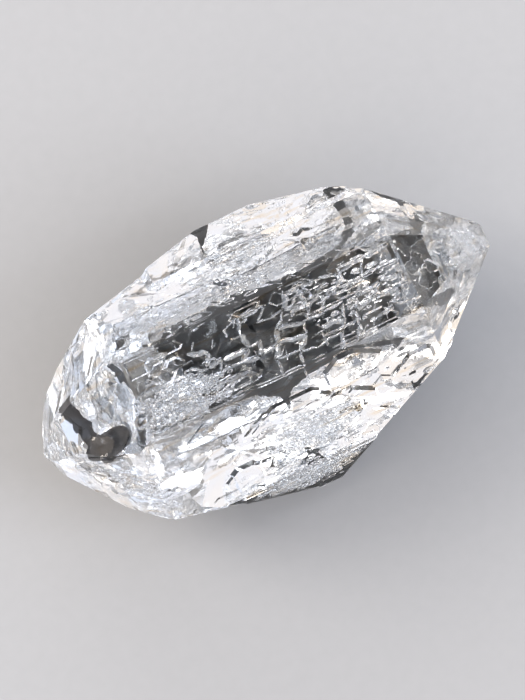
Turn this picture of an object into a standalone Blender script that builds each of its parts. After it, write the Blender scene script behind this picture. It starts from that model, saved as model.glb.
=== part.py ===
"""Doubly terminated quartz crystal of Herkimer habit, lying on a long prism face.

The c axis of the crystal runs along +X. Each face is a plane of the quartz
lattice: its tilt from the c axis comes from its form, its turn about the axis
from its side, and its distance from the centre is a measured size. The solid
is cleaved from a block by those planes. Parallel growth layers and low ledges,
cleaved from the same planes, are welded on. Thin open cracks, skeletal pits and
one conchoidal scar are cut in.
"""
import math

import bmesh
import bpy
import numpy as np
from mathutils import Matrix, Vector

MM = 0.001

# Tilt of each form's normal from the c axis, in degrees.
PRISM = 90.0
STEEP = 68.5
MAIN = 51.8
FLAT = 32.4

# Turn of each side about the c axis, in degrees from straight up toward +Y.
TOP = 0
BACK_UPPER = 60
BACK_LOWER = 120
UNDER = 180
FRONT_LOWER = 240
FRONT_UPPER = 300

EAST = 1
WEST = -1

# Faces of the crystal: form, side, end, and distance from the centre in mm.
FACES = {
    "prism_top": (PRISM, TOP, EAST, 5.20),
    "prism_back_upper": (PRISM, BACK_UPPER, EAST, 4.50),
    "prism_back_lower": (PRISM, BACK_LOWER, EAST, 5.95),
    "prism_under": (PRISM, UNDER, EAST, 5.00),
    "prism_front_lower": (PRISM, FRONT_LOWER, EAST, 7.82),
    "prism_front_upper": (PRISM, FRONT_UPPER, EAST, 3.78),
    "east_top": (MAIN, TOP, EAST, 8.54),
    "east_back_upper": (MAIN, BACK_UPPER, EAST, 7.95),
    "east_back_lower": (MAIN, BACK_LOWER, EAST, 7.10),
    "east_under": (MAIN, UNDER, EAST, 7.80),
    "east_front_lower": (MAIN, FRONT_LOWER, EAST, 6.65),
    "east_front_upper": (MAIN, FRONT_UPPER, EAST, 7.40),
    "east_back_steep": (STEEP, BACK_LOWER, EAST, 6.35),
    "east_tip_top": (FLAT, TOP, EAST, 9.90),
    "east_tip_under": (FLAT, UNDER, EAST, 8.95),
    "west_top": (MAIN, TOP, WEST, 7.75),
    "west_back_upper": (MAIN, BACK_UPPER, WEST, 7.60),
    "west_back_lower": (MAIN, BACK_LOWER, WEST, 7.50),
    "west_under": (MAIN, UNDER, WEST, 6.60),
    "west_front_lower": (MAIN, FRONT_LOWER, WEST, 8.50),
    "west_front_upper": (MAIN, FRONT_UPPER, WEST, 7.20),
    "west_back_steep": (STEEP, BACK_LOWER, WEST, 5.70),
    "west_front_steep": (STEEP, FRONT_LOWER, WEST, 7.35),
    "west_tip_top": (FLAT, TOP, WEST, 9.30),
    "west_tip_under": (FLAT, UNDER, WEST, 8.95),
    "west_tip_back_upper": (FLAT, BACK_UPPER, WEST, 9.25),
    "west_tip_back_lower": (FLAT, BACK_LOWER, WEST, 9.35),
    "west_tip_front_upper": (FLAT, FRONT_UPPER, WEST, 9.28),
}

BLOCK_SIZE = 30.0 * MM

# Parallel growth layers: the faces set apart from the crystal's own, in mm,
# and where the layer stops across one face (face, side of the stop, place).
LAYERS = {
    "back_layer": (
        {"prism_back_upper": 4.80, "west_back_upper": 5.70, "east_back_upper": 7.75},
        ("prism_back_upper", 1, 1.25),
    ),
    "front_layer": (
        {"prism_front_upper": 3.96, "west_front_upper": 5.35, "east_front_upper": 5.10},
        ("prism_front_upper", -1, -4.70),
    ),
    "east_layer": (
        {"east_front_upper": 7.54, "prism_front_upper": 3.60, "east_top": 8.30},
        ("east_front_upper", -1, -0.60),
    ),
}
LAYER_INSET = 0.06

# Fields of low growth ledges, each on one face: how many, then the ranges in mm
# of the place along the axis, place across, length, width and rise.
LEDGE_FIELDS = (
    ("prism_top", 26, (-5.7, 7.0), (-1.3, 2.1), (1.0, 3.2), (0.4, 1.3), (0.03, 0.17)),
    ("prism_back_upper", 11, (-5.2, 6.4), (-3.1, 0.6), (1.2, 3.6), (0.9, 2.4), (0.03, 0.15)),
    ("prism_front_upper", 20, (-5.0, 6.4), (-4.6, 3.4), (1.2, 4.2), (0.9, 3.2), (0.03, 0.18)),
    ("east_top", 3, (7.6, 9.3), (-1.2, 1.2), (0.6, 1.4), (0.6, 1.3), (0.03, 0.08)),
    ("east_back_upper", 4, (7.4, 9.8), (-1.6, 1.8), (0.8, 1.7), (0.8, 1.8), (0.03, 0.11)),
    ("east_front_upper", 4, (7.4, 9.8), (-1.6, 1.8), (0.8, 1.8), (0.8, 1.8), (0.03, 0.12)),
    ("west_top", 5, (-9.4, -6.4), (-2.0, 0.4), (0.6, 1.6), (0.5, 1.3), (0.03, 0.10)),
    ("west_back_upper", 4, (-9.6, -6.4), (-1.8, 2.0), (0.9, 2.2), (0.9, 2.0), (0.03, 0.11)),
    ("west_front_upper", 6, (-9.6, -5.8), (-3.0, 1.6), (0.9, 2.6), (0.9, 2.4), (0.03, 0.13)),
    ("west_back_steep", 6, (-7.4, -0.6), (-2.0, 2.0), (1.2, 3.0), (0.9, 2.2), (0.04, 0.13)),
    ("east_back_steep", 3, (2.4, 6.0), (-1.6, 1.6), (1.0, 2.4), (0.9, 1.8), (0.04, 0.11)),
    ("west_front_steep", 3, (-6.6, -1.0), (-0.8, 0.8), (1.0, 2.6), (0.6, 1.2), (0.04, 0.10)),
    ("west_under", 5, (-9.0, -5.4), (-2.4, 2.4), (1.0, 2.6), (1.0, 2.6), (0.04, 0.13)),
    ("east_under", 5, (5.0, 9.6), (-2.2, 2.2), (1.0, 2.6), (1.0, 2.6), (0.04, 0.13)),
    ("east_front_lower", 5, (2.6, 8.8), (-2.0, 2.0), (1.0, 2.8), (0.9, 2.4), (0.04, 0.13)),
    ("east_back_lower", 3, (6.4, 9.4), (-1.2, 1.2), (0.8, 1.8), (0.8, 1.6), (0.04, 0.10)),
)
LEDGE_WALL = 38.0
LEDGE_ROOT = 0.5
CORNER_CUT = 0.75
INSET_STEP = 0.0021

# Fields of shallow skeletal pits, as for the ledges, with depth for rise. The
# middle of the face that the crystal rests on stays whole.
PIT_FIELDS = (
    ("prism_under", 9, (-4.3, -1.8), (-3.6, 4.2), (0.7, 2.0), (0.4, 1.2), (0.05, 0.19)),
    ("prism_under", 8, (1.6, 3.8), (-3.4, 4.0), (0.7, 1.8), (0.4, 1.2), (0.05, 0.19)),
    ("prism_top", 5, (-5.0, 6.4), (-0.9, 1.6), (0.6, 1.6), (0.3, 0.7), (0.08, 0.20)),
    ("prism_back_upper", 3, (-4.0, 5.6), (-2.4, 0.2), (0.8, 1.6), (0.7, 1.6), (0.08, 0.15)),
    ("prism_front_upper", 7, (-2.6, 3.4), (-4.0, -0.6), (0.7, 1.6), (0.5, 1.1), (0.10, 0.26)),
    ("east_top", 1, (8.2, 8.6), (0.0, 0.3), (0.8, 1.1), (0.6, 0.9), (0.08, 0.13)),
    ("west_under", 3, (-8.0, -5.8), (-2.0, 2.0), (0.8, 1.4), (0.6, 1.2), (0.08, 0.16)),
    ("east_under", 3, (5.6, 8.8), (-1.2, 1.2), (0.8, 1.4), (0.6, 1.2), (0.08, 0.16)),
    ("west_back_steep", 2, (-6.0, -2.0), (-1.0, 1.0), (0.8, 1.4), (0.6, 1.2), (0.08, 0.14)),
    ("east_front_lower", 2, (3.8, 7.0), (-1.2, 1.2), (0.8, 1.5), (0.6, 1.2), (0.08, 0.15)),
)
PIT_WALL = 35.0
PIT_MOUTH = 0.35

# The oval conchoidal scar near the western tip: a shallow bowl.
SCAR_FACE = ("west_top", -7.8, 0.80)
SCAR_SIZE = (2.90, 1.50)
SCAR_DEPTH = 0.36
SCAR_TURN = 14.0
SCAR_SIDES = 32
SCAR_RINGS = 48

# Open cracks that run in from the lower side edges and down toward the middle of
# the under face: middle, half length along the axis and half breadths inward and
# outward in mm, then heading, lean and skew in degrees.
FROM_FRONT = 0.0
FROM_BACK = 180.0
CRACKS = {
    "front_west_crack": ((-2.9, -1.2, -3.53), 3.1, 4.7, 5.6, FROM_FRONT, 16.4, 0.8),
    "front_east_crack": ((2.7, -1.2, -3.66), 3.1, 4.2, 5.6, FROM_FRONT, 16.6, -0.8),
    "back_west_crack": ((-3.1, 1.6, -3.82), 3.0, 3.5, 5.0, FROM_BACK, 16.6, 0.8),
    "back_east_crack": ((2.7, 1.6, -3.62), 3.3, 4.2, 5.0, FROM_BACK, 16.4, -0.8),
}
CRACK_GAP = 0.05
CRACK_CORNERS = 22
CRACK_RINGS = 3
CRACK_SQUARENESS = 0.6
CRACK_RAGGED = 0.12
CRACK_SWELL = 0.04

WELD_REACH = 0.003 * MM
SEED = 7


def face_normal(tilt, turn, end):
    """Outward normal of a lattice plane from its tilt and its turn."""
    t = math.radians(tilt)
    a = math.radians(turn)
    return Vector((end * math.cos(t), math.sin(t) * math.sin(a), math.sin(t) * math.cos(a)))


def cleave(bm, normal, distance):
    """Cut away what lies beyond a plane and close the cut with one face."""
    geom = bm.verts[:] + bm.edges[:] + bm.faces[:]
    cut = bmesh.ops.bisect_plane(
        bm, geom=geom, dist=1e-8, plane_co=normal * distance, plane_no=normal, clear_outer=True
    )
    rim = [e for e in cut["geom_cut"] if isinstance(e, bmesh.types.BMEdge)]
    if rim:
        bmesh.ops.contextual_create(bm, geom=rim)


def cleaved_block(planes):
    """A closed convex solid bounded by the planes, each a normal and a distance."""
    bm = bmesh.new()
    bmesh.ops.create_cube(bm, size=BLOCK_SIZE)
    for normal, distance in planes:
        cleave(bm, normal, distance)
    bmesh.ops.recalc_face_normals(bm, faces=bm.faces[:])
    return bm


def lattice_planes(inset, changes):
    """Planes of the crystal moved in by the inset, but for the changed ones."""
    planes = []
    for name, (tilt, turn, end, distance) in FACES.items():
        reach = changes.get(name, distance - inset)
        planes.append((face_normal(tilt, turn, end), reach * MM))
    return planes


def face_axes(name):
    """Unit vectors of a face: along it toward its end, across it, and out of it."""
    tilt, turn, end, _ = FACES[name]
    out = face_normal(tilt, turn, end)
    along = (Vector((end, 0, 0)) - out * (out.x * end)).normalized()
    return along, out.cross(along), out


def face_matrix(name, x, across):
    """Frame on a face at a place along the c axis and a place across the face."""
    along, side, out = face_axes(name)
    foot = out * FACES[name][3]
    step = (x - foot.x) / along.x
    frame = Matrix((along, side, out)).transposed().to_4x4()
    frame.translation = (foot + along * step + side * across) * MM
    return frame


def mesh_object(name, bm, group):
    """A new object with the mesh, linked to one collection."""
    mesh = bpy.data.meshes.new(name)
    bm.to_mesh(mesh)
    bm.free()
    item = bpy.data.objects.new(name, mesh)
    group.objects.link(item)
    return item


def outline_planes(frame, length, width, cuts, lean):
    """Walls around a ledge or a pit, leaning outward: four sides and four cut corners."""
    along, side, out = (frame.to_3x3().col[i] for i in range(3))
    rise = math.sin(math.radians(lean))
    run = math.cos(math.radians(lean))
    reaches = []
    for ways in ((1, 0), (-1, 0), (0, 1), (0, -1)):
        reaches.append((ways, abs(ways[0]) * length / 2 + abs(ways[1]) * width / 2))
    for ways, cut in zip(((1, 1), (1, -1), (-1, 1), (-1, -1)), cuts):
        reaches.append((ways, (length + width) / 2 / math.sqrt(2) - cut))
    planes = []
    for (a, b), reach in reaches:
        flat = (along * a + side * b).normalized()
        normal = flat * run + out * rise
        planes.append((normal, frame.translation.dot(normal) + reach * run * MM))
    return planes


def growth_marks(fields, rng):
    """Face, place, size, height and corner cuts of each ledge or pit in the fields."""
    for face, count, *ranges in fields:
        for _ in range(count):
            x, across, length, width, height = (rng.uniform(*pair) for pair in ranges)
            cuts = rng.uniform(0.0, CORNER_CUT, 4) * min(length, width)
            yield face, (x, across), (length, width), height, cuts


def ledge_object(number, face, place, size, rise, cuts, group):
    """A low ledge, cleaved so that it never stands out past the crystal's edges."""
    reach = FACES[face][3]
    planes = lattice_planes(LAYER_INSET + INSET_STEP * number, {face: reach + rise})
    planes += outline_planes(face_matrix(face, *place), *size, cuts, LEDGE_WALL)
    planes.append((-face_axes(face)[2], (LEDGE_ROOT - reach) * MM))
    return mesh_object(f"ledge_{number:03d}", cleaved_block(planes), group)


def pit_object(number, face, place, size, depth, cuts, group):
    """A cutter for a pit with sloping walls and a flat floor."""
    out = face_axes(face)[2]
    reach = FACES[face][3]
    planes = outline_planes(face_matrix(face, *place), *size, cuts, -PIT_WALL)
    planes.append((out, (reach + PIT_MOUTH) * MM))
    planes.append((-out, (depth - reach) * MM))
    return mesh_object(f"pit_{number:03d}", cleaved_block(planes), group)


def layer_object(name, changes, stop, group):
    """A parallel growth layer: the same crystal, a little larger on some faces."""
    face, way, place = stop
    _, side, _ = face_axes(face)
    planes = lattice_planes(LAYER_INSET, changes)
    planes.append((-side * way, -place * way * MM))
    return mesh_object(name, cleaved_block(planes), group)


def scar_object(group):
    """A cutter for the conchoidal scar: a ball whose cap is the scar's bowl."""
    face, x, across = SCAR_FACE
    half = SCAR_SIZE[0] / 2
    radius = (half ** 2 + SCAR_DEPTH ** 2) / (2 * SCAR_DEPTH)
    bm = bmesh.new()
    bmesh.ops.create_uvsphere(bm, u_segments=SCAR_SIDES, v_segments=SCAR_RINGS, radius=radius * MM)
    lift = Matrix.Translation((0, 0, (radius - SCAR_DEPTH) * MM))
    turn = Matrix.Rotation(math.radians(SCAR_TURN), 4, "Z")
    size = Matrix.Diagonal((1.0, SCAR_SIZE[1] / SCAR_SIZE[0], 1.0, 1.0))
    place = face_matrix(face, x, across) @ lift @ turn @ size
    bmesh.ops.transform(bm, matrix=place, verts=bm.verts)
    return mesh_object("scar", bm, group)


def crack_point(angle, reach, breadths, swell):
    """A point of a crack's sheet, on an outline between an oval and a rectangle."""
    along, inward = (
        math.copysign(abs(share) ** CRACK_SQUARENESS, share)
        for share in (math.cos(angle), math.sin(angle))
    )
    half_length, half_inward, half_outward = breadths
    half_breadth = half_inward if inward > 0 else half_outward
    return Vector((along * half_length * reach, inward * half_breadth * reach, swell)) * MM


def crack_object(name, crack, rng, group):
    """A cutter for an open crack: a thin plate with a ragged rim and a faint swell."""
    middle, half_length, inward, outward, heading, lean, skew = crack
    rims = 1.0 - CRACK_RAGGED * rng.random(CRACK_CORNERS)
    bm = bmesh.new()
    rings = [[bm.verts.new((0.0, 0.0, 0.0))] * CRACK_CORNERS]
    for ring in range(1, CRACK_RINGS + 1):
        share = ring / CRACK_RINGS
        swells = share * rng.uniform(-CRACK_SWELL, CRACK_SWELL, CRACK_CORNERS)
        row = []
        for k in range(CRACK_CORNERS):
            angle = 2 * math.pi * k / CRACK_CORNERS
            sizes = (half_length, inward, outward)
            row.append(bm.verts.new(crack_point(angle, share * rims[k], sizes, swells[k])))
        rings.append(row)
    for low, high in zip(rings, rings[1:]):
        for k in range(CRACK_CORNERS):
            n = (k + 1) % CRACK_CORNERS
            bm.faces.new((low[k], high[k], high[n]))
            if low[k] is not low[n]:
                bm.faces.new((low[k], high[n], low[n]))
    raised = bmesh.ops.extrude_face_region(bm, geom=bm.faces[:])["geom"]
    lid = [item for item in raised if isinstance(item, bmesh.types.BMVert)]
    bmesh.ops.translate(bm, verts=lid, vec=(0, 0, CRACK_GAP * MM))
    bmesh.ops.recalc_face_normals(bm, faces=bm.faces[:])
    place = Matrix.Translation(Vector(middle) * MM)
    for degrees, axis in ((heading, "Z"), (-lean, "X"), (skew, "Y")):
        place = place @ Matrix.Rotation(math.radians(degrees), 4, axis)
    bmesh.ops.transform(bm, matrix=place, verts=bm.verts)
    return mesh_object(name, bm, group)


def carve(crystal, cutter, operation):
    """Join a solid to the crystal or cut it away with an exact Boolean."""
    step = crystal.modifiers.new(cutter.name, "BOOLEAN")
    step.operation = operation
    step.solver = "EXACT"
    step.object = cutter
    cutter.hide_render = True
    cutter.display_type = "WIRE"


def quartz_material():
    """Water-clear rock crystal."""
    material = bpy.data.materials.new("rock_crystal")
    material.use_nodes = True
    shader = material.node_tree.nodes["Principled BSDF"]
    shader.inputs["Base Color"].default_value = (0.96, 0.97, 0.98, 1.0)
    shader.inputs["Roughness"].default_value = 0.03
    shader.inputs["Metallic"].default_value = 0.0
    shader.inputs["IOR"].default_value = 1.544
    shader.inputs["Transmission Weight"].default_value = 1.0
    return material


def settle(crystal, items):
    """Move everything so that the crystal rests at the origin on its lowest face."""
    depsgraph = bpy.context.evaluated_depsgraph_get()
    mesh = bpy.data.meshes.new_from_object(crystal.evaluated_get(depsgraph))
    points = np.array([vert.co for vert in mesh.vertices])
    bpy.data.meshes.remove(mesh)
    low, high = points.min(axis=0), points.max(axis=0)
    shift = Vector((-(low[0] + high[0]) / 2, -(low[1] + high[1]) / 2, -low[2]))
    for item in items:
        item.location = shift


def main():
    for item in list(bpy.data.objects):
        bpy.data.objects.remove(item, do_unlink=True)
    group = bpy.data.collections.new("herkimer_diamond")
    tools = bpy.data.collections.new("growth_cutters")
    bpy.context.scene.collection.children.link(group)
    bpy.context.scene.collection.children.link(tools)

    crystal = mesh_object("quartz_crystal", cleaved_block(lattice_planes(0.0, {})), group)
    crystal.data.materials.append(quartz_material())

    rng = np.random.default_rng(SEED)
    raised = [layer_object(name, *layer, tools) for name, layer in LAYERS.items()]
    for number, mark in enumerate(growth_marks(LEDGE_FIELDS, rng), start=1):
        raised.append(ledge_object(number, *mark, tools))
    sunk = [crack_object(name, crack, rng, tools) for name, crack in CRACKS.items()]
    sunk.append(scar_object(tools))
    for number, mark in enumerate(growth_marks(PIT_FIELDS, rng), start=1):
        sunk.append(pit_object(number, *mark, tools))

    for cutter in raised:
        carve(crystal, cutter, "UNION")
    for cutter in sunk:
        carve(crystal, cutter, "DIFFERENCE")
    weld = crystal.modifiers.new("weld", "WELD")
    weld.merge_threshold = WELD_REACH
    bpy.context.view_layer.update()
    settle(crystal, [crystal] + raised + sunk)


main()
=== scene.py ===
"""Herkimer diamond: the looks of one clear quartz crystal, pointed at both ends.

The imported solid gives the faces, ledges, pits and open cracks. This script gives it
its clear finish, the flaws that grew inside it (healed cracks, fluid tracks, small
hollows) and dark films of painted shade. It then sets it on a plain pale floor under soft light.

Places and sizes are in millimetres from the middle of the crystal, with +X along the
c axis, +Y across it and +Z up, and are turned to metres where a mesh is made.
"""

import logging
import math
from dataclasses import dataclass
from enum import Enum

import bmesh
import bpy
import numpy as np
from mathutils import Matrix, Vector, noise
from mathutils.bvhtree import BVHTree

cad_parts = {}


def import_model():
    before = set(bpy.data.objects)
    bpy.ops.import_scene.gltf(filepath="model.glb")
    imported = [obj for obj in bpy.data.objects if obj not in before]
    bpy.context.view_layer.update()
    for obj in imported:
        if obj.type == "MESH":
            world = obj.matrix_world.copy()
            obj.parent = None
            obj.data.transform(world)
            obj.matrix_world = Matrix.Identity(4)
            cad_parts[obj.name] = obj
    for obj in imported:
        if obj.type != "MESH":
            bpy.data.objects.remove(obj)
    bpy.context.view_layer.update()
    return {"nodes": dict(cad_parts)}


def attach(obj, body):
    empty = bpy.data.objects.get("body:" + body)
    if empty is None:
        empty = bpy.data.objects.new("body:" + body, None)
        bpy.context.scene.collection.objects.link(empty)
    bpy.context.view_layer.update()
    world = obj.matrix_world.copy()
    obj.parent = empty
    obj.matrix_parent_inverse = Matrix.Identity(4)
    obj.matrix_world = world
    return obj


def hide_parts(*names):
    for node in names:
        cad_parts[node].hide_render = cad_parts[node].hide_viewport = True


LOG = logging.getLogger("herkimer_diamond")

MM = 0.001
CAD_NODE = "quartz_crystal"
BODY = "root"

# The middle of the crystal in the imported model's frame, in millimetres.
MIDDLE = Vector((-0.178, 0.297, 5.0))

IMAGE_WIDTH = 525
IMAGE_HEIGHT = 700

QUARTZ_IOR = 1.548

# How much finer each layer of noise is than the one before.
LACUNARITY = 2.0

# The part of an edge that a cut through a sheet leaves at least.
SHORTEST_SHARE = 0.08


def linear(hex_colour: str) -> tuple[float, float, float, float]:
    """Turns an sRGB hex colour into the linear colour that a node needs.

    Args:
        hex_colour: the colour as "#RRGGBB".

    Returns:
        Red, green, blue and alpha, each from 0 to 1.
    """
    parts = [int(hex_colour[i : i + 2], 16) / 255 for i in (1, 3, 5)]
    toned = [c / 12.92 if c <= 0.04045 else ((c + 0.055) / 1.055) ** 2.4 for c in parts]
    return (*toned, 1.0)


def per_mm(spacing: float) -> float:
    """Gives the texture scale that repeats every spacing millimetres."""
    return 1 / (spacing * MM)


def place(point: Vector) -> Vector:
    """Turns a place in crystal millimetres into a place in the frame, in metres."""
    return (Vector(point) + MIDDLE) * MM


def roughness_at(spot: Vector, octaves: int, softness: float = 1.0) -> float:
    """Gives layered noise, which draws the rough edges of natural forms.

    Args:
        spot: the place, in sizes of the largest lumps.
        octaves: how many layers of finer and finer lumps there are.
        softness: how fast the finer lumps fade.

    Returns:
        The noise, about -1 to 1.
    """
    return noise.fractal(spot, softness, LACUNARITY, octaves)


def add_node(
    tree: bpy.types.NodeTree,
    kind: str,
    settings: dict | None = None,
    links: dict | None = None,
) -> bpy.types.Node:
    """Adds one node, sets it up and wires it.

    Args:
        tree: the node tree that gets the node.
        kind: the node's type name.
        settings: values by property name, socket name or socket number.
        links: source sockets by socket name or socket number.

    Returns:
        The new node.
    """
    node = tree.nodes.new(kind)
    for key, value in (settings or {}).items():
        if isinstance(key, str) and hasattr(node, key):
            setattr(node, key, value)
        else:
            node.inputs[key].default_value = value
    for key, source in (links or {}).items():
        tree.links.new(source, node.inputs[key])
    return node


def new_tree(name: str) -> tuple[bpy.types.Material, bpy.types.NodeTree]:
    """Makes an empty node material.

    Args:
        name: the material's name.

    Returns:
        The material and its cleared node tree.
    """
    material = bpy.data.materials.new(name)
    material.use_nodes = True
    material.node_tree.nodes.clear()
    return material, material.node_tree


def mesh_piece(name: str, points: list[Vector], faces: list[list[int]]) -> bpy.types.Object:
    """Makes a mesh object from points in crystal millimetres.

    Args:
        name: the piece's name.
        points: corner places, in millimetres from the crystal's middle.
        faces: corner numbers of each face.

    Returns:
        The linked object, in metres.
    """
    mesh = bpy.data.meshes.new(name)
    mesh.from_pydata([place(p) for p in points], [], faces)
    mesh.validate()
    mesh.update()
    piece = bpy.data.objects.new(name, mesh)
    bpy.context.scene.collection.objects.link(piece)
    return piece


def mount(piece: bpy.types.Object, material: bpy.types.Material) -> bpy.types.Object:
    """Dresses a piece and makes it part of the crystal.

    Args:
        piece: the piece, in place.
        material: its finish.

    Returns:
        The same piece.
    """
    piece.data.materials.clear()
    piece.data.materials.append(material)
    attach(piece, BODY)
    LOG.info("%s: %d faces", piece.name, len(piece.data.polygons))
    return piece


@dataclass(frozen=True)
class GrownQuartz:
    """Rock crystal with natural growth faces: clear, bright and a little rippled.

    The faces are as glossy as they grew. Faint steps across the prism and low growth
    hillocks bend what is seen through them, so no face looks like cut glass. Thin
    seeps of iron stain along the c axis give a few pale tan streaks.
    """

    name: str = "quartz_natural_growth_faces"
    clear: str = "#FFFFFF"
    cool: str = "#F3F7FC"
    stain: str = "#F0DDC2"
    stain_width: float = 0.5
    stain_length: float = 2.8
    stain_detail: float = 4.0
    stain_twist: float = 0.6
    stain_range: tuple[float, float] = (0.56, 0.68)
    ior: float = QUARTZ_IOR
    smoothest: float = 0.0
    roughest: float = 0.035
    dull_range: tuple[float, float] = (0.52, 0.75)
    step_spacing: float = 0.32
    step_length: float = 3.5
    step_height: float = 0.006
    step_detail: float = 3.0
    fine_share: float = 0.6
    hillock_size: float = 0.9
    hillock_height: float = 0.010
    patch_size: float = 2.4
    patch_detail: float = 2.0
    absorbed: str = "#EEF3F6"
    absorption: float = 5.0

    def material(self) -> bpy.types.Material:
        """Builds the material of the crystal itself."""
        material, tree = new_tree(self.name)
        where = add_node(tree, "ShaderNodeTexCoord").outputs["Object"]
        stretch = (per_mm(self.step_spacing), per_mm(self.step_length), per_mm(self.step_length))
        along = add_node(tree, "ShaderNodeMapping", {"Scale": stretch}, {"Vector": where})
        steps = add_node(
            tree,
            "ShaderNodeTexNoise",
            {"Scale": 1.0, "Detail": self.step_detail, "Roughness": self.fine_share},
            {"Vector": along.outputs["Vector"]},
        )
        hillocks = add_node(
            tree,
            "ShaderNodeTexVoronoi",
            {"feature": "F1", "Scale": per_mm(self.hillock_size)},
            {"Vector": where},
        )
        patches = add_node(
            tree,
            "ShaderNodeTexNoise",
            {"Scale": per_mm(self.patch_size), "Detail": self.patch_detail},
            {"Vector": where},
        )
        low = add_node(
            tree,
            "ShaderNodeBump",
            {"Strength": 1.0, "Distance": self.hillock_height * MM},
            {"Height": hillocks.outputs["Distance"]},
        )
        bump = add_node(
            tree,
            "ShaderNodeBump",
            {"Strength": 1.0, "Distance": self.step_height * MM},
            {"Height": steps.outputs["Fac"], "Normal": low.outputs["Normal"]},
        )
        tint = add_node(
            tree,
            "ShaderNodeMix",
            {"data_type": "RGBA", 6: linear(self.clear), 7: linear(self.cool)},
            {0: patches.outputs["Fac"]},
        )
        runs = (per_mm(self.stain_length), per_mm(self.stain_width), per_mm(self.stain_width))
        drawn = add_node(tree, "ShaderNodeMapping", {"Scale": runs}, {"Vector": where})
        seeps = add_node(
            tree,
            "ShaderNodeTexNoise",
            {
                "Scale": 1.0,
                "Detail": self.stain_detail,
                "Roughness": self.fine_share,
                "Distortion": self.stain_twist,
            },
            {"Vector": drawn.outputs["Vector"]},
        )
        stained = add_node(
            tree,
            "ShaderNodeMapRange",
            {"From Min": self.stain_range[0], "From Max": self.stain_range[1]},
            {"Value": seeps.outputs["Fac"]},
        )
        colour = add_node(
            tree,
            "ShaderNodeMix",
            {"data_type": "RGBA", 7: linear(self.stain)},
            {0: stained.outputs["Result"], 6: tint.outputs[2]},
        )
        gloss = add_node(
            tree,
            "ShaderNodeMapRange",
            {
                "From Min": self.dull_range[0],
                "From Max": self.dull_range[1],
                "To Min": self.smoothest,
                "To Max": self.roughest,
            },
            {"Value": patches.outputs["Fac"]},
        )
        skin = add_node(
            tree,
            "ShaderNodeBsdfPrincipled",
            {"IOR": self.ior, "Transmission Weight": 1.0},
            {
                "Base Color": colour.outputs[2],
                "Roughness": gloss.outputs["Result"],
                "Normal": bump.outputs["Normal"],
            },
        )
        inside = add_node(
            tree,
            "ShaderNodeVolumeAbsorption",
            {"Color": linear(self.absorbed), "Density": self.absorption},
        )
        add_node(
            tree,
            "ShaderNodeOutputMaterial",
            links={"Surface": skin.outputs["BSDF"], "Volume": inside.outputs["Volume"]},
        )
        return material


@dataclass(frozen=True)
class HollowWall:
    """The wall of a gas or fluid hollow in quartz: clear, with a fine healing ripple.

    Light that meets it at a slant is thrown back, so a flat hollow looks silver from
    one side and nearly vanishes from another.
    """

    name: str
    clear: str = "#FFFFFF"
    shade: str = "#EEF2F6"
    ior: float = QUARTZ_IOR
    roughness: float = 0.02
    ripple_size: float = 0.16
    ripple_height: float = 0.004
    ripple_detail: float = 2.0

    def material(self) -> bpy.types.Material:
        """Builds the material of a hollow's wall."""
        material, tree = new_tree(self.name)
        where = add_node(tree, "ShaderNodeTexCoord").outputs["Object"]
        ripple = add_node(
            tree,
            "ShaderNodeTexNoise",
            {"Scale": per_mm(self.ripple_size), "Detail": self.ripple_detail},
            {"Vector": where},
        )
        bump = add_node(
            tree,
            "ShaderNodeBump",
            {"Strength": 1.0, "Distance": self.ripple_height * MM},
            {"Height": ripple.outputs["Fac"]},
        )
        tint = add_node(
            tree,
            "ShaderNodeMix",
            {"data_type": "RGBA", 6: linear(self.clear), 7: linear(self.shade)},
            {0: ripple.outputs["Fac"]},
        )
        skin = add_node(
            tree,
            "ShaderNodeBsdfPrincipled",
            {"IOR": self.ior, "Transmission Weight": 1.0, "Roughness": self.roughness},
            {"Base Color": tint.outputs[2], "Normal": bump.outputs["Normal"]},
        )
        add_node(tree, "ShaderNodeOutputMaterial", links={"Surface": skin.outputs["BSDF"]})
        return material


@dataclass(frozen=True)
class MattPaper:
    """Pale uncoated studio paper: an even, soft sheet with a faint fibre grain.

    It has next to no sheen, so the eye sees only its even tone and soft shadows.
    """

    name: str = "paper_matt_pale"
    light: str = "#B6B7B9"
    dark: str = "#B1B2B4"
    ior: float = 1.45
    roughness: float = 0.85
    gloss_level: float = 0.1
    fibre_size: float = 0.6
    fibre_detail: float = 3.0

    def material(self) -> bpy.types.Material:
        """Builds the material of the floor."""
        material, tree = new_tree(self.name)
        where = add_node(tree, "ShaderNodeTexCoord").outputs["Object"]
        fibres = add_node(
            tree,
            "ShaderNodeTexNoise",
            {"Scale": per_mm(self.fibre_size), "Detail": self.fibre_detail},
            {"Vector": where},
        )
        tint = add_node(
            tree,
            "ShaderNodeMix",
            {"data_type": "RGBA", 6: linear(self.light), 7: linear(self.dark)},
            {0: fibres.outputs["Fac"]},
        )
        skin = add_node(
            tree,
            "ShaderNodeBsdfPrincipled",
            {
                "IOR": self.ior,
                "Roughness": self.roughness,
                "Specular IOR Level": self.gloss_level,
            },
            {"Base Color": tint.outputs[2]},
        )
        add_node(tree, "ShaderNodeOutputMaterial", links={"Surface": skin.outputs["BSDF"]})
        return material


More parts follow.
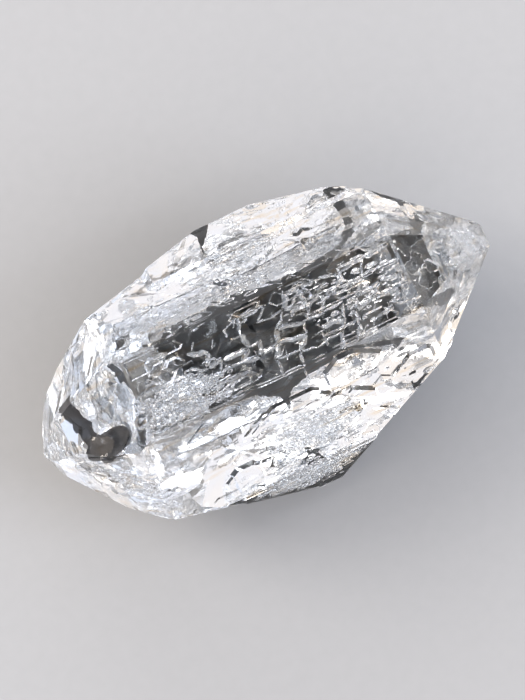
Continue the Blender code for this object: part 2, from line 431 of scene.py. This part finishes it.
@dataclass(frozen=True)
class PaintedShadeFilm:
    """Painted shade inside the quartz: a thin, even, brown-grey film.

    It bends light hardly at all, so the eye sees it only as a darker patch of painted shade
    over what lies behind it.
    """

    name: str = "painted_shade_film_in_quartz"
    # These brown-grey colours are painted shade, not a real film's colour.
    light: str = "#6B6866"
    dark: str = "#3D3B3A"
    ior: float = 1.04
    roughness: float = 0.02
    cloud_size: float = 0.9
    cloud_detail: float = 2.0

    def material(self) -> bpy.types.Material:
        """Builds the material of the film of painted shade."""
        material, tree = new_tree(self.name)
        where = add_node(tree, "ShaderNodeTexCoord").outputs["Object"]
        clouds = add_node(
            tree,
            "ShaderNodeTexNoise",
            {"Scale": per_mm(self.cloud_size), "Detail": self.cloud_detail},
            {"Vector": where},
        )
        tint = add_node(
            tree,
            "ShaderNodeMix",
            {"data_type": "RGBA", 6: linear(self.light), 7: linear(self.dark)},
            {0: clouds.outputs["Fac"]},
        )
        skin = add_node(
            tree,
            "ShaderNodeBsdfPrincipled",
            {"IOR": self.ior, "Transmission Weight": 1.0, "Roughness": self.roughness},
            {"Base Color": tint.outputs[2]},
        )
        add_node(tree, "ShaderNodeOutputMaterial", links={"Surface": skin.outputs["BSDF"]})
        return material


class Face(Enum):
    """Faces that carry flaws: tilt from the c axis, turn about it, end and distance."""

    TOP = (90.0, 0.0, 1, 5.20)
    FRONT = (90.0, 300.0, 1, 3.78)
    BACK = (90.0, 60.0, 1, 4.50)
    WEST_TOP = (51.8, 0.0, -1, 7.75)
    EAST_TIP = (32.4, 0.0, 1, 9.90)
    WEST_FRONT = (51.8, 300.0, -1, 7.20)

    def out(self) -> Vector:
        """Gives the face's outward normal."""
        tilt, turn = math.radians(self.value[0]), math.radians(self.value[1])
        end = self.value[2]
        side = math.sin(tilt)
        return Vector((end * math.cos(tilt), side * math.sin(turn), side * math.cos(turn)))

    def along(self) -> Vector:
        """Gives the direction on the face that runs most toward +X."""
        out = self.out()
        return (Vector((1, 0, 0)) - out * out.x).normalized()

    def across(self) -> Vector:
        """Gives the direction on the face at a right angle to along."""
        return self.out().cross(self.along())

    def spot(self, x: float, across: float, depth: float) -> Vector:
        """Finds a place under the face.

        Args:
            x: place along the c axis, in millimetres.
            across: place across the face, in millimetres.
            depth: depth under the face, in millimetres.

        Returns:
            The place, in millimetres from the crystal's middle.
        """
        out, along = self.out(), self.along()
        foot = out * self.value[3]
        step = (x - foot.x) / along.x
        return foot + along * step + self.across() * across - out * depth


class Interior:
    """The room inside the crystal, which every flaw has to keep to."""

    def __init__(self, node: bpy.types.Object) -> None:
        """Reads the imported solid's faces.

        Args:
            node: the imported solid.
        """
        self.faces = BVHTree.FromObject(node, bpy.context.evaluated_depsgraph_get())

    def depth(self, point: Vector) -> float:
        """Tells how deep a place lies under the crystal's faces.

        Args:
            point: the place, in millimetres from the crystal's middle.

        Returns:
            The depth in millimetres, below zero outside.
        """
        spot = place(point)
        nearest, normal, _, distance = self.faces.find_nearest(spot)
        inside = (spot - nearest).dot(normal) < 0
        return (distance if inside else -distance) / MM


@dataclass
class CrystalBody:
    """The crystal itself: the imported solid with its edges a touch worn."""

    node: bpy.types.Object
    weld: float = 0.0008
    flat_angle: float = 0.15
    edge_angle: float = 14.0
    edge_wear: float = 0.035
    shortest_edge: float = 0.12
    crack_gap: float = 0.065
    crack_depth: float = 0.4

    def build(self, finish: GrownQuartz) -> bpy.types.Object:
        """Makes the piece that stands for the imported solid.

        Args:
            finish: the finish of its faces.

        Returns:
            The crystal.
        """
        shell = bmesh.new()
        shell.from_mesh(self.node.data)
        bmesh.ops.remove_doubles(shell, verts=shell.verts, dist=self.weld * MM)
        self.taper_cracks(shell)
        bmesh.ops.dissolve_limit(
            shell,
            angle_limit=math.radians(self.flat_angle),
            verts=shell.verts,
            edges=shell.edges,
        )
        sharp = [
            edge
            for edge in shell.edges
            if edge.is_manifold
            and edge.is_convex
            and edge.calc_face_angle(0) > math.radians(self.edge_angle)
            and edge.calc_length() > self.shortest_edge * MM
        ]
        bmesh.ops.bevel(
            shell,
            geom=sharp,
            offset=self.edge_wear * MM,
            offset_type="OFFSET",
            segments=1,
            affect="EDGES",
            clamp_overlap=True,
        )
        mesh = bpy.data.meshes.new("crystal")
        shell.to_mesh(mesh)
        open_edges = sum(not edge.is_manifold for edge in shell.edges)
        shell.free()
        LOG.info("crystal: %d open edges", open_edges)
        for face in mesh.polygons:
            face.use_smooth = False
        piece = bpy.data.objects.new("crystal", mesh)
        bpy.context.scene.collection.objects.link(piece)
        mount(piece, finish.material())
        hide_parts(CAD_NODE)
        return piece

    def taper_cracks(self, shell: bmesh.types.BMesh) -> None:
        """Draws the inner rims of the open cracks down to nothing, as real cracks end.

        Args:
            shell: the crystal's mesh, which it changes.
        """
        hull = bmesh.new()
        for vert in shell.verts:
            hull.verts.new(vert.co)
        bmesh.ops.convex_hull(hull, input=hull.verts)
        around = BVHTree.FromBMesh(hull)
        deep = {
            vert for vert in shell.verts if around.find_nearest(vert.co)[3] > self.crack_depth * MM
        }
        hull.free()
        rims = [
            edge
            for edge in shell.edges
            if edge.calc_length() < self.crack_gap * MM and deep.issuperset(edge.verts)
        ]
        bmesh.ops.collapse(shell, edges=rims)
        LOG.info("crystal: %d crack rim edges drawn together", len(rims))


@dataclass
class Veil:
    """A healed crack: a thin, ragged film of gas, or a drift of flakes of it; or a sheet of
    painted shade.
    """

    name: str
    centre: tuple[float, float, float]
    length: float
    breadth: float
    roll: float
    turn: float = 0.0
    cell: float = 0.14
    shake: float = 0.3
    spare: float = 1.15
    grain: float = 0.9
    cover: float = 0.15
    ragged: float = 0.45
    squareness: float = 2.5
    swell: float = 0.12
    swell_size: float = 2.5
    thickness: float = 0.03
    margin: float = 0.10
    seed: float = 0.0

    def axes(self) -> Matrix:
        """Gives the turn from the sheet's own axes to the crystal's."""
        turned = Matrix.Rotation(math.radians(self.turn), 3, "Z")
        return turned @ Matrix.Rotation(math.radians(self.roll), 3, "X")

    def height(self, u: float, v: float) -> float:
        """Gives the sheet's gentle swell at a place on it, in millimetres."""
        spot = Vector((u / self.swell_size, v / self.swell_size, self.seed))
        return self.swell * noise.noise(spot)

    def kept(self, u: float, v: float, depth: float) -> float:
        """Tells whether a place on the sheet is film.

        Args:
            u: place along the sheet, in millimetres.
            v: place across the sheet, in millimetres.
            depth: how deep the place lies inside the crystal, in millimetres.

        Returns:
            Above zero where the film is, below zero where the quartz has healed.
        """
        rim = roughness_at(Vector((u, v, self.seed + 7.0)), octaves=4)
        ends = abs(2 * u / self.length) ** self.squareness
        sides = abs(2 * v / self.breadth) ** self.squareness
        spot = Vector((u / self.grain, v / self.grain, self.seed + 3.0))
        healed = roughness_at(spot, octaves=3, softness=0.8) + self.cover
        return min(1 - (ends + sides) + self.ragged * rim, healed, depth - self.margin)

    def build(self, inside: Interior, material: bpy.types.Material) -> bpy.types.Object:
        """Makes the film as one mesh of closed hollows.

        Args:
            inside: the room inside the crystal.
            material: the finish of the hollow's wall, or of the film of painted shade.

        Returns:
            The veil.
        """
        axes = self.axes()
        normal = axes @ Vector((0, 0, 1))
        columns = int(self.length * self.spare / self.cell) + 1
        rows = int(self.breadth * self.spare / self.cell) + 1
        points, values = [], []
        for j in range(rows + 1):
            for i in range(columns + 1):
                along = noise.noise(Vector((i * 1.7, j * 1.3, self.seed)))
                aside = noise.noise(Vector((i * 1.3, j * 1.7, self.seed + 5.0)))
                u = (i - columns / 2 + self.shake * along + 0.5 * (j % 2)) * self.cell
                v = (j - rows / 2 + self.shake * aside) * self.cell
                point = Vector(self.centre) + axes @ Vector((u, v, self.height(u, v)))
                points.append(point)
                values.append(self.kept(u, v, inside.depth(point)))
        triangles = grid_triangles(columns + 1, rows + 1)
        sheet, faces = clip_sheet(points, values, triangles)
        corners, shell = hollow_shell(sheet, faces, normal * self.thickness / 2)
        return mount(mesh_piece(self.name, corners, shell), material)


def clip_sheet(
    points: list[Vector], values: list[float], triangles: list[tuple[int, int, int]]
) -> tuple[list[Vector], list[list[int]]]:
    """Cuts a sheet of triangles where its value passes zero.

    A cut keeps off the ends of an edge, so that no sliver of a face is left.

    Args:
        points: the corners' places.
        values: a value at each corner, above zero where the sheet stays.
        triangles: corner numbers of each triangle.

    Returns:
        The corners and faces of what stays.
    """
    numbers: dict = {}
    corners: list[Vector] = []

    def corner(key: object, point: Vector) -> int:
        """Gives the number of a corner, and adds it when it is new."""
        if key not in numbers:
            numbers[key] = len(corners)
            corners.append(point)
        return numbers[key]

    faces = []
    for triangle in triangles:
        face = []
        for one, two in zip(triangle, triangle[1:] + triangle[:1]):
            if values[one] > 0:
                face.append(corner(one, points[one]))
            if (values[one] > 0) != (values[two] > 0):
                low, high = min(one, two), max(one, two)
                share = values[low] / (values[low] - values[high])
                share = min(max(share, SHORTEST_SHARE), 1 - SHORTEST_SHARE)
                face.append(corner((low, high), points[low].lerp(points[high], share)))
        if len(face) > 2:
            faces.append(face)
    return corners, faces


def hollow_shell(
    sheet: list[Vector], faces: list[list[int]], half: Vector
) -> tuple[list[Vector], list[list[int]]]:
    """Thickens a sheet into a closed hollow whose faces point into it.

    Args:
        sheet: the sheet's corners.
        faces: the sheet's faces, turned to the side of half.
        half: half of the thickness, along the sheet's normal.

    Returns:
        The hollow's corners and faces.
    """
    count = len(sheet)
    corners = [p + half for p in sheet] + [p - half for p in sheet]
    shell = [face[::-1] for face in faces]
    shell += [[i + count for i in face] for face in faces]
    sides = set()
    for face in faces:
        sides.update(zip(face, face[1:] + face[:1]))
    for one, two in sides:
        if (two, one) not in sides:
            shell.append([one, two, two + count, one + count])
    return corners, shell


@dataclass
class SutureNet:
    """Fluid tracks close under a face, where blocks of growth joined.

    The blocks are rough and slanted. Each track is a fine hollow with a ridge
    toward the face, which shows as a pale line over the dark window below it.
    The fields x and across give the range that the net covers.
    """

    name: str
    face: Face
    x: tuple[float, float]
    across: tuple[float, float]
    depth: float = 0.34
    row: float = 0.62
    block: float = 0.95
    slant: float = 0.48
    scatter: float = 0.26
    drawn: float = 0.74
    overhang: float = 1.5
    thinnest: float = 0.05
    thickest: float = 0.13
    thinning: float = 1.5
    end_taper: float = 0.45
    ridge_slope: float = 54.0
    parts: int = 4
    margin: float = 0.05
    shake: float = 0.06
    seed: int = 11

    def tracks(self) -> list[list[Vector]]:
        """Lays out the rough blocks' edges as short broken lines."""
        rng = np.random.default_rng(self.seed)
        rows = int((self.across[1] - self.across[0]) / self.row) + 1
        columns = int((self.x[1] - self.x[0]) / self.block) + int(2 * self.overhang)
        knots = np.zeros((rows, columns, 2))
        for j in range(rows):
            for i in range(columns):
                across = j * self.row
                x = (i - self.overhang) * self.block + across * self.slant
                knots[j, i] = (self.x[0] + x, self.across[0] + across)
        spread = np.array((self.block, self.row)) * self.scatter
        knots += rng.uniform(-1, 1, knots.shape) * spread
        lines = []
        for j in range(rows):
            for i in range(columns):
                for other in ((j, i + 1), (j + 1, i)):
                    drawn = rng.random() < self.drawn
                    if drawn and other[0] < rows and other[1] < columns:
                        lines.append(self.line(rng, knots[j, i], knots[other]))
        return lines

    def line(self, rng: np.random.Generator, start: np.ndarray, end: np.ndarray) -> list[Vector]:
        """Makes one broken line.

        Args:
            rng: the source of chance.
            start: where it starts, in millimetres along and across.
            end: where it ends.

        Returns:
            The points of the line.
        """
        points = []
        for k in range(self.parts + 1):
            spot = start + (end - start) * k / self.parts
            spot = spot + rng.uniform(-1, 1, 2) * self.shake
            points.append(self.face.spot(spot[0], spot[1], self.depth))
        return points

    def build(self, inside: Interior, material: bpy.types.Material) -> bpy.types.Object:
        """Makes all the tracks as one mesh of closed hollows.

        Args:
            inside: the room inside the crystal.
            material: the finish of the hollow's wall.

        Returns:
            The net of tracks.
        """
        rng = np.random.default_rng(self.seed + 1)
        corners: list[Vector] = []
        faces: list[list[int]] = []
        for line in self.tracks():
            share = rng.random() ** self.thinning
            half = self.thinnest + (self.thickest - self.thinnest) * share
            rise = self.face.out() * half * math.tan(math.radians(self.ridge_slope))
            if min(inside.depth(p + rise) for p in line) > self.margin:
                self.add_track(line, half, rise, corners, faces)
        return mount(mesh_piece(self.name, corners, faces), material)

    def add_track(
        self,
        line: list[Vector],
        half: float,
        rise: Vector,
        corners: list[Vector],
        faces: list[list[int]],
    ) -> None:
        """Adds one closed hollow with a three-sided section along a line.

        Args:
            line: the points of the line.
            half: half the track's width.
            rise: from the line to the track's ridge.
            corners: the mesh's corners so far.
            faces: the mesh's faces so far.
        """
        first = len(corners)
        last = len(line) - 1
        for k, point in enumerate(line):
            ahead = line[min(k + 1, last)] - line[max(k - 1, 0)]
            side = rise.cross(ahead).normalized() * half
            taper = self.end_taper if k in (0, last) else 1.0
            corners.append(point + side * taper)
            corners.append(point - side * taper)
            corners.append(point + rise * taper)
        for k in range(last):
            a = first + 3 * k
            for i in range(3):
                j = (i + 1) % 3
                faces.append([a + i, a + 3 + i, a + 3 + j, a + j])
        faces.append([first, first + 1, first + 2])
        end = first + 3 * last
        faces.append([end + 2, end + 1, end])


@dataclass
class HollowCloud:
    """Small hollows with the crystal's own faces, scattered under one face.

    The fields x and across give the cloud's middle and its spread to each side.
    """

    name: str
    face: Face
    x: tuple[float, float]
    across: tuple[float, float]
    depth: tuple[float, float]
    count: int
    smallest: float = 0.04
    largest: float = 0.15
    fineness: float = 2.5
    reach: float = 2.2
    margin: float = 0.05
    slenderness: float = 1.4
    stretch: tuple[float, float] = (0.4, 1.5)
    cap_slope: float = 51.8
    seed: int = 5

    def build(self, inside: Interior, material: bpy.types.Material) -> bpy.types.Object:
        """Makes all the hollows as one mesh.

        Args:
            inside: the room inside the crystal.
            material: the finish of the hollow's wall.

        Returns:
            The cloud of hollows.
        """
        rng = np.random.default_rng(self.seed)
        corners: list[Vector] = []
        faces: list[list[int]] = []
        for _ in range(self.count):
            x, across = (
                middle + spread * float(np.clip(rng.normal(), -self.reach, self.reach))
                for middle, spread in (self.x, self.across)
            )
            spot = self.face.spot(x, across, rng.uniform(*self.depth))
            share = rng.random() ** self.fineness
            radius = self.smallest + (self.largest - self.smallest) * share
            half = radius * self.slenderness * rng.uniform(*self.stretch)
            if inside.depth(spot) > self.margin + half + radius:
                self.add_hollow(spot, radius, half, corners, faces)
        return mount(mesh_piece(self.name, corners, faces), material)

    def add_hollow(
        self,
        spot: Vector,
        radius: float,
        half: float,
        corners: list[Vector],
        faces: list[list[int]],
    ) -> None:
        """Adds one six-sided hollow with pointed ends, its faces turned inwards.

        Args:
            spot: its middle.
            radius: from its middle to an edge of its prism.
            half: half the length of its prism.
            corners: the mesh's corners so far.
            faces: the mesh's faces so far.
        """
        first = len(corners)
        cap = radius * math.cos(math.pi / 6) * math.tan(math.radians(self.cap_slope))
        corners.append(spot + Vector((-half - cap, 0, 0)))
        for end in (-half, half):
            for k in range(6):
                angle = math.pi / 3 * k + math.pi / 6
                ring = Vector((end, radius * math.cos(angle), radius * math.sin(angle)))
                corners.append(spot + ring)
        corners.append(spot + Vector((half + cap, 0, 0)))
        for k in range(6):
            a, b = first + 1 + k, first + 1 + (k + 1) % 6
            faces.append([first, a, b])
            faces.append([a, a + 6, b + 6, b])
            faces.append([first + 13, b + 6, a + 6])


@dataclass
class PaintedShadePocket:
    """A dark oval film of painted shade under the western scar, with its ragged tail toward the
    back.
    """

    name: str = "painted_shade_pocket"
    face: Face = Face.WEST_TOP
    depth: float = 0.46
    thickness: float = 0.05
    cell: float = 0.07
    middle: tuple[float, float] = (-7.83, -0.85)
    half: tuple[float, float] = (1.20, 0.66)
    turn: float = 14.0
    tail: tuple[tuple[float, float], ...] = ((-8.35, -0.35), (-8.55, 0.55), (-8.95, 1.75))
    tail_width: float = 0.34
    ragged: float = 0.16
    ragged_size: float = 0.45
    x_range: tuple[float, float] = (-9.8, -6.3)
    y_range: tuple[float, float] = (-2.0, 2.5)

    def kept(self, point: Vector) -> float:
        """Tells whether a place is in the pocket, above zero where it is."""
        spot = Vector((point.x - self.middle[0], point.y - self.middle[1]))
        spot.rotate(Matrix.Rotation(math.radians(-self.turn), 2))
        oval = 1 - math.hypot(spot.x / self.half[0], spot.y / self.half[1])
        here = Vector((point.x, point.y))
        reach = min(
            (here - nearest_on(here, Vector(a), Vector(b))).length
            for a, b in zip(self.tail, self.tail[1:])
        )
        rough = self.ragged * roughness_at(point / self.ragged_size, octaves=3)
        return max(oval * min(self.half), self.tail_width - reach + rough)

    def build(self, inside: Interior, material: bpy.types.Material) -> bpy.types.Object:
        """Makes the pocket as a thin closed body.

        Args:
            inside: the room inside the crystal.
            material: the finish of the film of painted shade.

        Returns:
            The pocket.
        """
        points, values = [], []
        xs = np.arange(*self.x_range, self.cell)
        ys = np.arange(*self.y_range, self.cell)
        for y in ys:
            for x in xs:
                point = self.face.spot(x, y, self.depth)
                points.append(point)
                values.append(min(self.kept(point), inside.depth(point) - self.thickness))
        triangles = grid_triangles(len(xs), len(ys))
        sheet, faces = clip_sheet(points, values, triangles)
        corners, shell = hollow_shell(sheet, faces, self.face.out() * self.thickness / 2)
        shell = [face[::-1] for face in shell]
        return mount(mesh_piece(self.name, corners, shell), material)


def nearest_on(point: Vector, start: Vector, end: Vector) -> Vector:
    """Finds the place on a line from start to end that is nearest to a point."""
    run = end - start
    share = min(max((point - start).dot(run) / run.length_squared, 0.0), 1.0)
    return start + run * share


def grid_triangles(columns: int, rows: int) -> list[tuple[int, int, int]]:
    """Splits a grid of points, row by row, into triangles.

    Args:
        columns: how many points each row has.
        rows: how many rows there are.

    Returns:
        The corner numbers of each triangle.
    """
    triangles = []
    for j in range(rows - 1):
        for i in range(columns - 1):
            a = j * columns + i
            b, c, d = a + 1, a + columns, a + columns + 1
            triangles += [(a, b, d), (a, d, c)] if j % 2 else [(a, b, c), (b, d, c)]
    return triangles


class Softbox(Enum):
    """The studio's soft lights."""

    KEY = "key_softbox"
    FILL = "fill_softbox"
    BACK = "back_softbox"


@dataclass(frozen=True)
class BoxSetting:
    """Where a soft light stands and how it shines."""

    place: tuple[float, float, float]
    size: tuple[float, float]
    power: float
    colour: str


@dataclass
class Studio:
    """A plain pale floor that curves up all round, soft lights and the camera.

    The paper lies a hundredth of a millimetre under the resting face, so that the two
    never coincide and what is seen through the crystal's base is the shaded paper.
    """

    floor_gap: float = 0.01
    floor_radius: float = 0.50
    cove_radius: float = 0.12
    wall_height: float = 0.18
    segments: int = 96
    bend_steps: int = 12
    warm_side: str = "#FFF0DF"
    cool_side: str = "#E4EDFF"
    overhead: str = "#222426"
    overhead_from: float = 0.88
    overhead_to: float = 0.97
    side_blend: float = 0.8
    world_strength: float = 1.2
    view_angle: float = 25.6
    frame_width: float = 23.5
    camera_height: float = 0.24
    sensor_size: float = 36.0
    nearest_seen: float = 0.01
    light_bounces: int = 22
    gloss_bounces: int = 20
    clear_bounces: int = 16

    def boxes(self) -> dict[Softbox, BoxSetting]:
        """Gives each soft light's setting."""
        return {
            Softbox.KEY: BoxSetting((-0.22, 0.24, 0.24), (0.20, 0.16), 1.1, "#FFF8F0"),
            Softbox.FILL: BoxSetting((0.28, -0.16, 0.20), (0.20, 0.12), 0.6, "#F0F5FF"),
            Softbox.BACK: BoxSetting((0.10, 0.34, 0.16), (0.26, 0.08), 0.3, "#FFFFFF"),
        }

    def build_floor(self) -> bpy.types.Object:
        """Turns the floor and its cove as one sheet."""
        outline = [(0.0, 0.0), (self.floor_radius * 0.5, 0.0), (self.floor_radius, 0.0)]
        for k in range(1, self.bend_steps + 1):
            angle = math.pi / 2 * k / self.bend_steps
            reach = self.floor_radius + self.cove_radius * math.sin(angle)
            outline.append((reach, self.cove_radius * (1 - math.cos(angle))))
        outline.append((self.floor_radius + self.cove_radius, self.wall_height))
        points = [Vector((0, 0, 0))]
        faces = []
        for reach, height in outline[1:]:
            for k in range(self.segments):
                angle = 2 * math.pi * k / self.segments
                points.append(Vector((reach * math.cos(angle), reach * math.sin(angle), height)))
        for k in range(self.segments):
            n = (k + 1) % self.segments
            faces.append([0, 1 + k, 1 + n])
            for ring in range(len(outline) - 2):
                a = 1 + ring * self.segments
                b = a + self.segments
                faces.append([a + k, b + k, b + n, a + n])
        mesh = bpy.data.meshes.new("studio_floor")
        mesh.from_pydata(points, [], faces)
        for face in mesh.polygons:
            face.use_smooth = True
        mesh.materials.append(MattPaper().material())
        floor = bpy.data.objects.new("studio_floor", mesh)
        floor.location.z = -self.floor_gap * MM
        bpy.context.scene.collection.objects.link(floor)
        return floor

    def build_lights(self) -> None:
        """Makes the world's even light and the soft lights."""
        world = bpy.data.worlds.new("studio_light")
        world.use_nodes = True
        tree = world.node_tree
        tree.nodes.clear()
        where = add_node(tree, "ShaderNodeTexCoord").outputs["Generated"]
        parts = add_node(tree, "ShaderNodeSeparateXYZ", links={"Vector": where})
        side = add_node(
            tree,
            "ShaderNodeMapRange",
            {"From Min": -self.side_blend, "From Max": self.side_blend},
            {"Value": parts.outputs["X"]},
        )
        height = add_node(
            tree,
            "ShaderNodeMapRange",
            {
                "interpolation_type": "SMOOTHSTEP",
                "From Min": self.overhead_from,
                "From Max": self.overhead_to,
            },
            {"Value": parts.outputs["Z"]},
        )
        walls = add_node(
            tree,
            "ShaderNodeMix",
            {"data_type": "RGBA", 6: linear(self.warm_side), 7: linear(self.cool_side)},
            {0: side.outputs["Result"]},
        )
        tent = add_node(
            tree,
            "ShaderNodeMix",
            {"data_type": "RGBA", 7: linear(self.overhead)},
            {0: height.outputs["Result"], 6: walls.outputs[2]},
        )
        glow = add_node(
            tree,
            "ShaderNodeBackground",
            {"Strength": self.world_strength},
            {"Color": tent.outputs[2]},
        )
        add_node(tree, "ShaderNodeOutputWorld", links={"Surface": glow.outputs["Background"]})
        bpy.context.scene.world = world
        for box, setting in self.boxes().items():
            light = bpy.data.lights.new(box.value, "AREA")
            light.shape = "RECTANGLE"
            light.size, light.size_y = setting.size
            light.energy = setting.power
            light.color = linear(setting.colour)[:3]
            lamp = bpy.data.objects.new(box.value, light)
            lamp.location = setting.place
            aim = Vector((0, 0, MIDDLE.z * MM)) - lamp.location
            lamp.rotation_euler = aim.to_track_quat("-Z", "Y").to_euler()
            bpy.context.scene.collection.objects.link(lamp)

    def build_camera(self) -> bpy.types.Object:
        """Sets the camera straight above, turned as the crystal lies in the picture."""
        angle = math.radians(self.view_angle)
        right = Vector((math.cos(angle), -math.sin(angle), 0))
        up = Vector((math.sin(angle), math.cos(angle), 0))
        data = bpy.data.cameras.new("camera")
        data.sensor_width = self.sensor_size
        frame_height = self.frame_width * MM * IMAGE_HEIGHT / IMAGE_WIDTH
        data.lens = data.sensor_width * self.camera_height / frame_height
        data.clip_start = self.nearest_seen
        camera = bpy.data.objects.new("camera", data)
        turn = Matrix((right, up, Vector((0, 0, 1)))).transposed().to_4x4()
        turn.translation = MIDDLE * MM + Vector((0, 0, self.camera_height))
        camera.matrix_world = turn
        bpy.context.scene.collection.objects.link(camera)
        bpy.context.scene.camera = camera
        return camera

    def build(self) -> None:
        """Makes the whole studio, and lets light pass through many clear walls."""
        self.build_floor()
        self.build_lights()
        self.build_camera()
        scene = bpy.context.scene
        scene.view_settings.view_transform = "Standard"
        scene.cycles.max_bounces = self.light_bounces
        scene.cycles.transmission_bounces = self.light_bounces
        scene.cycles.glossy_bounces = self.gloss_bounces
        scene.cycles.transparent_max_bounces = self.clear_bounces
        scene.cycles.caustics_refractive = False
        scene.cycles.caustics_reflective = False


@dataclass(frozen=True)
class FlawsAndShadeFilms:
    """Everything that grew or healed inside the crystal, and two films of painted shade, each kind
    with its finish.
    """

    track: HollowWall = HollowWall("fluid_track_in_quartz", ripple_height=0.002)
    speck: HollowWall = HollowWall("hollow_crystal_in_quartz", ripple_height=0.0015)
    film: HollowWall = HollowWall("gas_film_in_quartz")
    # The next two finishes are painted shade: a dark film for the oval under the west scar and a
    # thinner grey one by the back edge.
    shade_film: PaintedShadeFilm = PaintedShadeFilm()
    thin_shade_film: PaintedShadeFilm = PaintedShadeFilm(
        "thin_painted_shade_film_in_quartz", "#C4C2C0", "#8F8D8B"
    )

    def window_nets(self) -> list[SutureNet]:
        """Gives the tracks over the dark window and the west scar."""
        window = {"x": (-5.9, 7.3), "across": (-1.4, 2.2)}
        fine = {"thinnest": 0.02, "thickest": 0.05, "parts": 2, "drawn": 0.12}
        return [
            SutureNet("window_tracks", Face.TOP, **window),
            SutureNet("west_tracks", Face.WEST_TOP, (-6.9, -5.9), (-2.0, 1.2), seed=21),
            SutureNet(
                "window_hairlines",
                Face.TOP,
                **window,
                depth=0.52,
                row=0.34,
                block=0.5,
                seed=31,
                **fine,
            ),
        ]

    def clouds(self) -> list[HollowCloud]:
        """Gives the clouds of small hollows that speckle the faces.

        Each row holds the name, face, middle and spread along x and across, range of
        depths, count and seed. Two clouds have a largest hollow of their own.
        """
        rows = (
            ("window_cloud", Face.TOP, (-4.1, 1.1), (-0.5, 0.5), (0.12, 0.5), 820, 9),
            ("window_east_cloud", Face.TOP, (5.0, 1.2), (0.4, 0.8), (0.12, 0.5), 120, 17),
            ("front_cloud", Face.FRONT, (0.3, 1.0), (-2.6, 1.2), (0.15, 0.8), 900, 5),
            ("front_edge_cloud", Face.FRONT, (-0.5, 1.6), (-5.5, 0.45), (0.1, 0.4), 620, 23),
            ("tip_cloud", Face.EAST_TIP, (10.25, 0.35), (0.3, 0.8), (0.1, 0.6), 420, 41),
            ("west_front_cloud", Face.WEST_FRONT, (-7.2, 0.9), (-1.2, 1.0), (0.1, 0.6), 420, 47),
            ("back_cloud", Face.BACK, (-1.0, 1.9), (-1.2, 0.7), (0.15, 0.6), 420, 13),
        )
        largest = {"front_cloud": 0.2, "west_front_cloud": 0.11}
        return [
            HollowCloud(
                *row[:-1], seed=row[-1], largest=largest.get(row[0], HollowCloud.largest)
            )
            for row in rows
        ]

    def back_net(self) -> SutureNet:
        """Gives the thin tracks that run beside the back edge."""
        return SutureNet(
            "back_tracks",
            Face.BACK,
            (-3.6, 3.0),
            (-2.1, -1.2),
            depth=0.28,
            row=0.24,
            block=0.8,
            slant=0.1,
            drawn=0.62,
            parts=3,
            seed=51,
        )

    def veils(self) -> list[Veil]:
        """Gives the healed cracks of both ends.

        Each row holds the name, middle, length, breadth, roll, turn, cover and seed.
        """
        rows = (
            ("east_front_veil", (6.6, -0.8, -3.0), 4.4, 4.4, -17.2, 24, 0.6, 3.0),
            ("west_front_veil", (-6.2, -1.0, -3.1), 3.4, 4.4, -17.2, -24, 0.55, 6.0),
            ("east_tip_veil", (9.0, 0.5, -0.9), 3.8, 2.4, -24, -90, 0.8, 4.0),
            ("east_back_veil", (6.2, 1.8, -2.8), 3.4, 3.6, -13, 138, 0.15, 8.0),
            ("west_veil", (-4.25, 0.4, -3.6), 4.8, 1.9, -27, -90, 0.4, 5.0),
        )
        return [Veil(*row[:-2], cover=row[-2], seed=row[-1]) for row in rows]

    def back_shade_film(self) -> Veil:
        """Gives the slivers of a thin grey film of painted shade beside the back edge."""
        return Veil(
            "back_painted_shade_veil",
            (-1.2, 4.62, 0.40),
            7.0,
            1.0,
            roll=-60,
            cell=0.11,
            grain=0.55,
            cover=-0.02,
            swell=0.02,
            seed=9.0,
        )

    def build(self, inside: Interior) -> None:
        """Builds every flaw and film of painted shade with its finish.

        Args:
            inside: the room inside the crystal.
        """
        track = self.track.material()
        groups = (
            (self.window_nets(), track),
            (self.clouds(), self.speck.material()),
            ([self.back_net()], track),
            (self.veils(), self.film.material()),
            # The next two groups are dark films of painted shade, not grown flaws.
            ([PaintedShadePocket()], self.shade_film.material()),
            ([self.back_shade_film()], self.thin_shade_film.material()),
        )
        for group, material in groups:
            for flaw_or_shade_film in group:
                flaw_or_shade_film.build(inside, material)


def main() -> None:
    """Builds the crystal, its flaws, its films of painted shade and the studio, and reports each
    piece.
    """
    logging.basicConfig(level=logging.INFO, format="%(name)s: %(message)s")
    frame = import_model()
    node = frame["nodes"][CAD_NODE]
    inside = Interior(node)
    CrystalBody(node).build(GrownQuartz())
    FlawsAndShadeFilms().build(inside)
    Studio().build()


if __name__ == "__main__":
    main()
